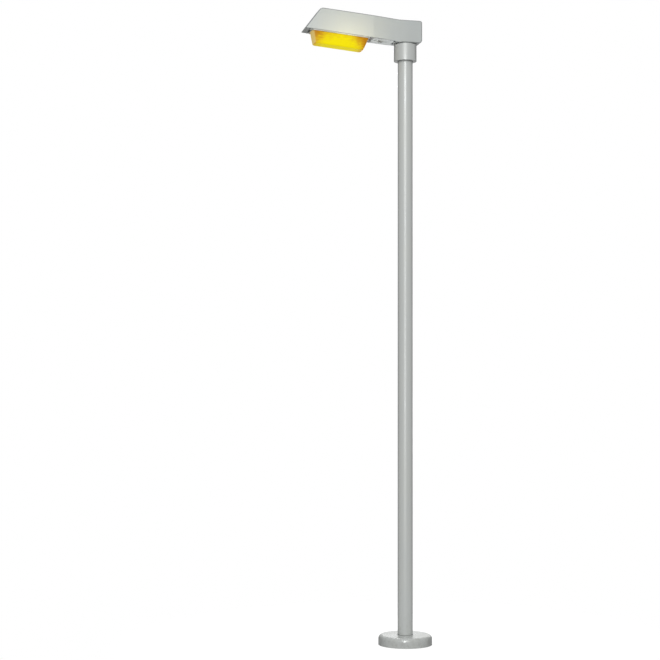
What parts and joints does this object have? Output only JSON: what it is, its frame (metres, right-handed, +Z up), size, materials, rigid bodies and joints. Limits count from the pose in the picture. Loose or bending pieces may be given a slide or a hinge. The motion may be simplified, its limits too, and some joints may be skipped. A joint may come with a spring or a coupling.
{
  "type": "street lamp post",
  "caption": "Straight round grey lamp column with foot cover, flush service door, collar and a case-shaped lantern tilted up over an amber drop bowl.",
  "frame": {"origin": "centre of the foot plate's underside, on the column's axis", "axes": "+Z up along the column; the lantern points along -X; the service door faces +Y"},
  "size_m": [1.0026, 0.409, 4.8251],
  "materials": {
    "galvanised_steel": "satin grey coating",
    "grey_paint": "satin light grey paint",
    "zinc": "bright zinc plate",
    "cast_alloy": "as-cast, painted",
    "bright_alloy": "polished",
    "seal_rubber": "matte",
    "board": "laminate board",
    "black_plastic": "moulded",
    "white_plastic": "moulded",
    "cable_sheath": "matte",
    "porcelain": "glazed",
    "lamp_glass": "frosted",
    "brass_parts": "machined",
    "amber_bowl": "translucent amber",
    "gear_black": "varnished laminations"
  },
  "bodies": {
    "post": {"base_flange": "galvanised_steel", "base_gussets": "galvanised_steel", "pole_tube": "grey_paint", "door_frame": "galvanised_steel", "door_gasket": "seal_rubber", "door_hinge_fixed": "grey_paint", "door_hinge_pins": "zinc", "equipment_board": "board", "board_brackets": "galvanised_steel", "fuse_base": "black_plastic", "terminal_block": "white_plastic", "terminal_screws": "brass_parts", "earth_stud": "brass_parts", "supply_cable": "cable_sheath", "riser_cable": "cable_sheath"},
    "foot_cover": {"base_cover": "grey_paint", "cover_clamp_ring": "cast_alloy", "cover_grub_screws": "zinc", "cover_seal": "seal_rubber"},
    "service_door": {"door": "grey_paint", "door_hinge_leaves": "grey_paint", "door_lock_housing": "zinc"},
    "door_lock": {"door_lock_core": "brass_parts"},
    "fuse": {"fuse_carrier": "white_plastic", "fuse_link": "porcelain"},
    "luminaire": {"collar": "cast_alloy", "collar_set_screws": "zinc", "collar_neck_screws": "zinc", "canopy": "grey_paint", "mounting_bracket": "cast_alloy", "cross_bar": "zinc", "seal_frame": "zinc", "reflector": "bright_alloy", "lamp_holder": "porcelain", "holder_bracket": "zinc", "gear_tray": "zinc", "tray_posts": "zinc", "ballast": "gear_black", "capacitor": "bright_alloy", "ignitor": "white_plastic", "head_terminal": "white_plastic", "head_wiring": "cable_sheath", "gear_door_hinges": "zinc", "bowl_hinge_pins": "zinc"},
    "lamp_bulb": {"lamp": "lamp_glass"},
    "gear_hatch": {"gear_door": "grey_paint"},
    "hatch_knob": {"gear_door_catch": "cast_alloy"},
    "bowl_unit": {"bowl_frame": "cast_alloy", "bowl": "amber_bowl", "bowl_gasket": "seal_rubber"},
    "bowl_button": {"bowl_catch": "cast_alloy"}
  },
  "joints": [
    {"name": "head_swivel", "type": "hinge", "parent": "post", "child": "luminaire", "pos_m": [0, 0, 4.52], "axis": [0, 0, 1], "range_deg": [-180, 180]},
    {"name": "bowl_hinge", "type": "hinge", "parent": "luminaire", "child": "bowl_unit", "pos_m": [-0.75248, 0, 4.66031], "axis": [0, 1, 0], "range_deg": [0, 85]},
    {"name": "gear_hatch_hinge", "type": "hinge", "parent": "luminaire", "child": "gear_hatch", "pos_m": [-0.10069, 0, 4.59547], "axis": [0, -1, 0], "range_deg": [0, 75]},
    {"name": "service_door_hinge", "type": "hinge", "parent": "post", "child": "service_door", "pos_m": [0.04265, 0.04417, 0.7], "axis": [0, 0, -1], "range_deg": [0, 110]},
    {"name": "foot_cover_lift", "type": "slide", "parent": "post", "child": "foot_cover", "axis": [0, 0, 1], "range_m": [0, 0.35]},
    {"name": "door_lock_turn", "type": "hinge", "parent": "service_door", "child": "door_lock", "pos_m": [-0.018, 0.04, 0.7], "axis": [0, 1, 0], "range_deg": [-90, 0]},
    {"name": "fuse_pull", "type": "slide", "parent": "post", "child": "fuse", "axis": [0, 1, 0], "range_m": [0, 0.022]},
    {"name": "hatch_knob_turn", "type": "hinge", "parent": "gear_hatch", "child": "hatch_knob", "pos_m": [-0.19582, 0, 4.60882], "axis": [-0.1028, 0, -0.9947], "range_deg": [0, 90]},
    {"name": "bowl_button_turn", "type": "hinge", "parent": "luminaire", "child": "bowl_button", "pos_m": [-0.2779, 0, 4.61228], "axis": [0.1028, 0, 0.9947], "range_deg": [0, 90]},
    {"name": "lamp_withdraw", "type": "slide", "parent": "luminaire", "child": "lamp_bulb", "axis": [-0.9947, 0, 0.1028], "range_m": [0, 0.035]}
  ]
}
